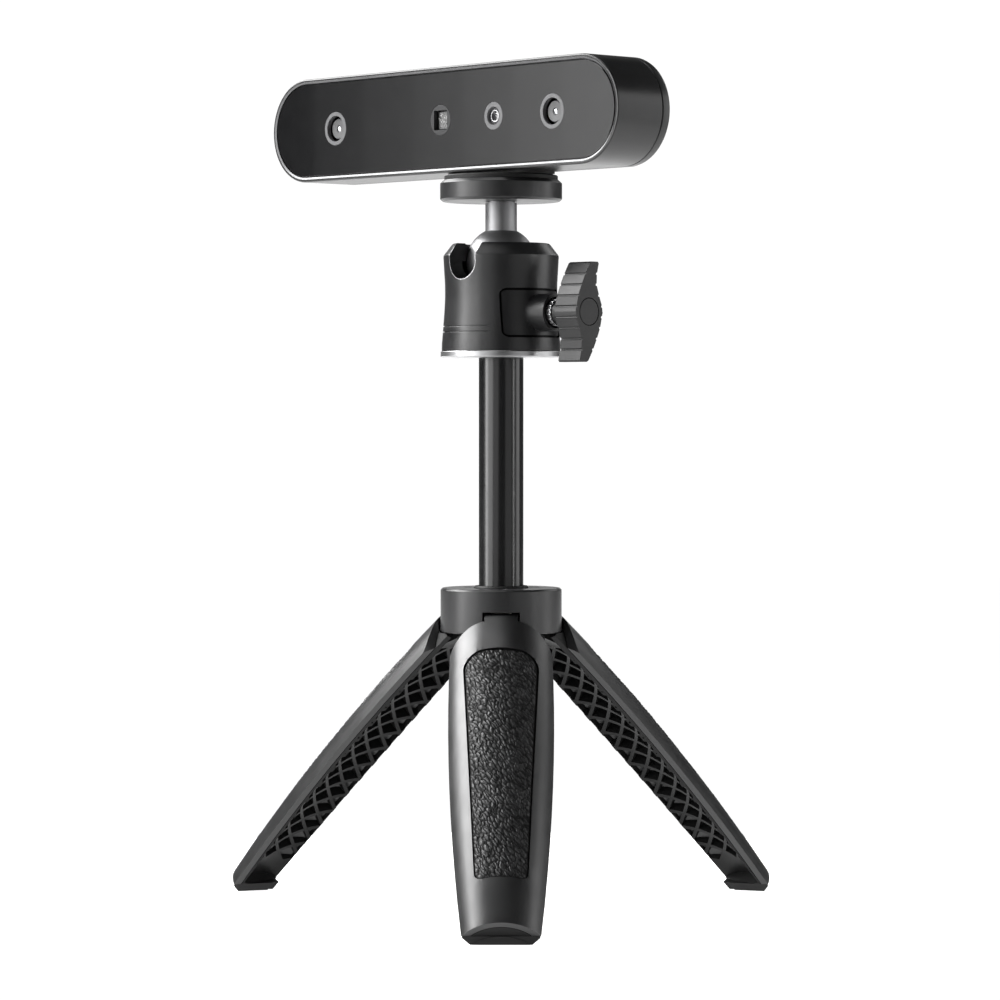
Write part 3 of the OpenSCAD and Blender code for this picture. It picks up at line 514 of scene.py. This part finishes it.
def leg_grip(side, seed, leather):
    """Inlay moulded with a leather grain: its surface is crowned and rolls down into the groove."""
    azimuth = AZIMUTHS[side]
    surface_depth, bottom_depth, skirt = 0.12, 1.1, 0.02
    roll, roll_drop, relief = 1.1, 0.76, 0.62
    vertices, heights, faces = [], [], []
    for i in range(GRIP_ROWS + 1):
        for j in range(GRIP_COLUMNS + 1):
            s, half, t = grip_place(i, j)
            edge = min(half - abs(t), s - GRIP["top_s"], GRIP["end_s"] - s)
            near = min(1.0, max(0.0, edge / roll))
            fall = 1 - math.sqrt(max(0.0, 1 - (1 - near) ** 2))
            height = leather_height(t, s, seed)
            depth = surface_depth + roll_drop * fall + (1 - height) * relief * min(1.0, near * 1.6)
            radius = barrel_r(s) - min(depth, bottom_depth)
            vertices.append(leg_to_row(math.sqrt(radius * radius - t * t), t, s, azimuth))
            # The stored height falls to 0 near the rim, so the rim also gets the leather's painted crease
            # shade.
            heights.append(height * min(1.0, near * 1.5))
    across = GRIP_COLUMNS + 1
    for i in range(GRIP_ROWS):
        for j in range(GRIP_COLUMNS):
            a = i * across + j
            faces.append((a, a + 1, a + across + 1, a + across))
    rim = ([j for j in range(across)]
           + [i * across + GRIP_COLUMNS for i in range(1, GRIP_ROWS + 1)]
           + [GRIP_ROWS * across + j for j in range(GRIP_COLUMNS - 1, -1, -1)]
           + [i * across for i in range(GRIP_ROWS - 1, 0, -1)])
    start, count = len(vertices), len(rim)
    for k, index in enumerate(rim):
        s, half, t = grip_place(*divmod(index, across))
        radius = barrel_r(s) - bottom_depth - skirt
        vertices.append(leg_to_row(math.sqrt(radius * radius - t * t), t, s, azimuth))
        heights.append(0.0)
        faces.append((rim[(k + 1) % count], index, start + k, start + (k + 1) % count))
    obj = mesh_object(f"{side}_grip_leather", vertices, faces, leather)
    store_heights(obj, heights)
    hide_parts(f"{side}_leg_grip")
    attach(obj, f"{side}_leg")


grip_leather = leather_material()
for index, side in enumerate(AZIMUTHS):
    leg_grip(side, 3.0 + index * 7.3, grip_leather)


# ---------------------------------------------------------------- pieces behind the scanner's glass
# In mm: the scanner's turn, where its tripod thread is along it, its depth and its middle's height,
# then where the optics are along it.
SCANNER_YAW = math.radians(-48)
THREAD_OFFSET, SCANNER_DEPTH, SCANNER_MID_Z = 19.9, 25.7, 262.6 + 19.1
PROJECTOR_X, COLOUR_CAMERA_X = 1.4, 29.8
CAMERA_X = {"left": -57.5, "right": 60.3}


def scanner_to_row(x, up, depth):
    """Scanner coordinates in mm (along it from its middle, up, back from the glass) to the row frame."""
    px, py = x - THREAD_OFFSET, depth - SCANNER_DEPTH / 2
    c, n = math.cos(SCANNER_YAW), math.sin(SCANNER_YAW)
    return Vector((px * c - py * n, px * n + py * c, SCANNER_MID_Z + up)) * MM


def chip_material():
    """Bright metal dots on the raised cells, grey between them."""
    mat, tree, bsdf = principled("projector_chip")
    coords = object_coords(tree)
    dots = tree.nodes.new("ShaderNodeTexVoronoi")
    dots.inputs["Scale"].default_value = 1500.0
    link(tree, coords, dots.inputs["Vector"])
    raised = mix_colour(tree, map_range(tree, dots.outputs["Distance"], 0.2, 0.5, 0.0, 1.0),
                        (0.95, 0.95, 0.93), (0.5, 0.5, 0.5))
    link(tree, mix_colour(tree, height_node(tree), (0.14, 0.14, 0.14), raised),
         bsdf.inputs["Base Color"])
    link(tree, map_range(tree, noise_node(tree, coords, 900.0), 0.3, 0.7, 0.25, 0.45),
         bsdf.inputs["Roughness"])
    bsdf.inputs["Metallic"].default_value = 0.9
    return mat


def projector_chip():
    """Patterned square behind the projector's window: a stepped plate with raised cells."""
    cells, half, floor_depth, step = 30, 2.95, 1.95, 0.22
    vertices, heights, faces = [], [], []
    pattern = random.Random(11)
    levels = [[0.0] * cells for _ in range(cells)]
    for _ in range(46):
        i, j = pattern.randrange(2, cells - 4), pattern.randrange(2, cells - 4)
        wide, tall = pattern.randrange(1, 5), pattern.randrange(1, 4)
        level = pattern.choice((0.45, 0.75, 1.0))
        for a in range(i, min(cells - 2, i + wide)):
            for b in range(j, min(cells - 2, j + tall)):
                levels[a][b] = level
    size = 2 * half / cells
    for i in range(cells):
        for j in range(cells):
            x0, y0 = PROJECTOR_X - half + i * size, -half + j * size
            top = floor_depth - step * levels[i][j]
            inset = 0.04 if levels[i][j] else 0.0
            start = len(vertices)
            for lift, depth in ((0.0, floor_depth), (inset, top)):
                for dx, dy in ((lift, lift), (size - lift, lift), (size - lift, size - lift),
                               (lift, size - lift)):
                    vertices.append(scanner_to_row(x0 + dx, y0 + dy, depth))
                    heights.append(levels[i][j])
            faces.append((start + 4, start + 5, start + 6, start + 7))
            if inset:
                for k in range(4):
                    faces.append((start + k, start + (k + 1) % 4, start + 4 + (k + 1) % 4, start + 4 + k))
    obj = mesh_object("projector_chip", vertices, faces, chip_material(), shade_smooth=False)
    store_heights(obj, heights)
    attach(obj, "scanner")


projector_chip()


def colour_camera_trim():
    """Bright turned ring round the small lens of the colour camera, rounded at its front."""
    around, arc = 64, 12
    middle_r, wall, front, inner_back, outer_back = 1.95, 0.26, 1.16, 1.7, 1.5
    profile = [(middle_r - wall * math.cos(math.pi * k / arc), front - wall * math.sin(math.pi * k / arc))
               for k in range(arc + 1)]
    profile += [(middle_r + wall, outer_back), (middle_r - wall, inner_back)]
    vertices, faces = [], []
    count = len(profile)
    for i in range(around):
        a = 2 * math.pi * i / around
        for r, depth in profile:
            vertices.append(scanner_to_row(COLOUR_CAMERA_X + r * math.cos(a), r * math.sin(a), depth))
    for i in range(around):
        for k in range(count):
            a, b = i * count, (i + 1) % around * count
            faces.append((a + k, a + (k + 1) % count, b + (k + 1) % count, b + k))
    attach(mesh_object("colour_camera_trim", vertices, faces, materials["bright"]), "scanner")


colour_camera_trim()


def camera_front_element(side):
    """Small dome in the aperture of a camera, coloured as bright metal: a painted highlight on the lens."""
    dome_r, apex, reach = 1.5, 1.72, math.radians(50)
    rings, around = 14, 48
    vertices, faces = [scanner_to_row(CAMERA_X[side], 0, apex)], []
    for k in range(1, rings + 1):
        a = reach * k / rings
        for i in range(around):
            turn = 2 * math.pi * i / around
            vertices.append(scanner_to_row(CAMERA_X[side] + dome_r * math.sin(a) * math.cos(turn),
                                           dome_r * math.sin(a) * math.sin(turn),
                                           apex + dome_r * (1 - math.cos(a))))
    for i in range(around):
        faces.append((0, 1 + i, 1 + (i + 1) % around))
    for k in range(rings - 1):
        for i in range(around):
            a, b = 1 + k * around + i, 1 + k * around + (i + 1) % around
            faces.append((a, a + around, b + around, b))
    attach(mesh_object(f"{side}_camera_front_element", vertices, faces, materials["painted_lens_highlight"]), "scanner")


for side in CAMERA_X:
    camera_front_element(side)


# ---------------------------------------------------------------- studio
FLOOR_GLOW = 1.02


def floor_material():
    """Pale floor that glows round the object and behind it, and fades out towards the camera and sides."""
    mat, tree, bsdf = principled("floor_white")
    bsdf.inputs["Roughness"].default_value = 0.9
    bsdf.inputs["Specular IOR Level"].default_value = 0.0
    coords = object_coords(tree)
    split = tree.nodes.new("ShaderNodeSeparateXYZ")
    link(tree, coords, split.inputs[0])
    far_enough = map_range(tree, split.outputs["Y"], -0.42, -0.27, 0.02, 1.0)
    not_wide = map_range(tree, maths(tree, "ABSOLUTE", split.outputs["X"]), 0.74, 1.15, 1.0, 0.05)
    not_high = map_range(tree, split.outputs["Z"], 0.82, 1.3, 1.0, 0.05)
    lit = maths(tree, "MULTIPLY", maths(tree, "MULTIPLY", far_enough, not_wide), not_high)
    pale = mix_colour(tree, noise_node(tree, coords, 40.0), (0.52, 0.52, 0.52), (0.56, 0.56, 0.56))
    link(tree, mix_colour(tree, lit, (0.22, 0.22, 0.22), pale), bsdf.inputs["Base Color"])
    bsdf.inputs["Emission Color"].default_value = (1, 1, 1, 1)
    link(tree, maths(tree, "MULTIPLY", lit, FLOOR_GLOW), bsdf.inputs["Emission Strength"])
    return mat


def sweep():
    """Floor that curves up into a backdrop behind the object."""
    half, front, back, bend, top, steps = 5.0, -4.0, 4.0, 0.8, 4.0, 12
    profile = [(front, 0.0), (back - bend, 0.0)]
    for k in range(1, steps + 1):
        a = math.pi / 2 * k / steps
        profile.append((back - bend + bend * math.sin(a), bend - bend * math.cos(a)))
    profile.append((back, top))
    vertices = [(x, y, z) for y, z in profile for x in (-half, half)]
    faces = [(a, a + 1, a + 3, a + 2) for a in range(0, len(vertices) - 2, 2)]
    mesh_object("floor", vertices, faces, floor_material())


def surround_material():
    mat, tree, bsdf = principled("surround_white")
    bsdf.inputs["Base Color"].default_value = (0.02, 0.02, 0.02, 1)
    bsdf.inputs["Specular IOR Level"].default_value = 0.0
    bsdf.inputs["Emission Color"].default_value = (1, 1, 1, 1)
    bsdf.inputs["Emission Strength"].default_value = FLOOR_GLOW
    return mat


def pale_surround():
    """White floor and dome from a quarter metre outwards, seen by the camera but lighting nothing."""
    inner, outer, lift, around = 0.25, 3.0, 0.0005, 64
    rings = [(inner, lift)]
    for degrees in range(0, 90, 6):
        a = math.radians(degrees)
        rings.append((outer * math.cos(a), lift + outer * math.sin(a)))
    turns = [2 * math.pi * k / around for k in range(around)]
    vertices = [(r * math.cos(turn), r * math.sin(turn), z) for r, z in rings for turn in turns]
    faces = []
    for ring in range(len(rings) - 1):
        for k in range(around):
            a, b = ring * around + k, ring * around + (k + 1) % around
            faces.append((a, b, b + around, a + around))
    faces.append([(len(rings) - 1) * around + k for k in range(around)])
    surround = mesh_object("surround", vertices, faces, surround_material(), shade_smooth=False)
    surround.visible_diffuse = False
    surround.visible_glossy = False
    surround.visible_transmission = False
    surround.visible_shadow = False


sweep()
pale_surround()

world = bpy.data.worlds.new("world")
scene.world = world
world.use_nodes = True
background = world.node_tree.nodes["Background"]
background.inputs["Color"].default_value = (0.95, 0.97, 1.0, 1)
background.inputs["Strength"].default_value = 0.05

TARGET = Vector((0, 0, 0.17))
LIGHT_DISTANCE = 1.15


def softbox(name, azimuth, elevation, width, tall, radiance):
    """Softbox seen from the object at an azimuth (0 at the camera, positive to the right), in degrees."""
    a, e = math.radians(azimuth), math.radians(elevation)
    light = bpy.data.lights.new(name, "AREA")
    light.shape = "RECTANGLE"
    light.size, light.size_y = width, tall
    light.energy = radiance * math.pi * width * tall
    obj = bpy.data.objects.new(name, light)
    scene.collection.objects.link(obj)
    obj.visible_camera = False
    away = Vector((math.sin(a) * math.cos(e), -math.cos(a) * math.cos(e), math.sin(e)))
    obj.location = TARGET + away * LIGHT_DISTANCE
    obj.rotation_euler = (-away).to_track_quat("-Z", "Y").to_euler()


softbox("left_main", -80, 6, 0.30, 1.2, 9.0)
softbox("left_soft", -58, 6, 0.60, 1.2, 3.8)
softbox("left_front", -27, 4, 0.50, 1.2, 1.1)
# Narrow strips that fade out behind the main light.
for step, radiance in enumerate((1.35, 1.25, 1.05, 0.8, 0.55, 0.35, 0.2)):
    softbox(f"left_rear_{step}", -90.6 - 1.6 * step, 6, 0.032, 1.2, radiance)
softbox("left_top", -112, 37, 0.85, 0.6, 14.0)
softbox("top", -80, 82, 0.5, 0.8, 2.4)
softbox("right_strip", 68, 4, 0.06, 1.2, 12.0)
softbox("right_front", 38, 2, 0.7, 1.0, 0.7)
softbox("right_rear", 96, 6, 0.50, 0.95, 2.3)
softbox("right_top", 135, 28, 0.6, 0.4, 1.6)

scene.view_settings.view_transform = "Standard"
scene.view_settings.look = "None"
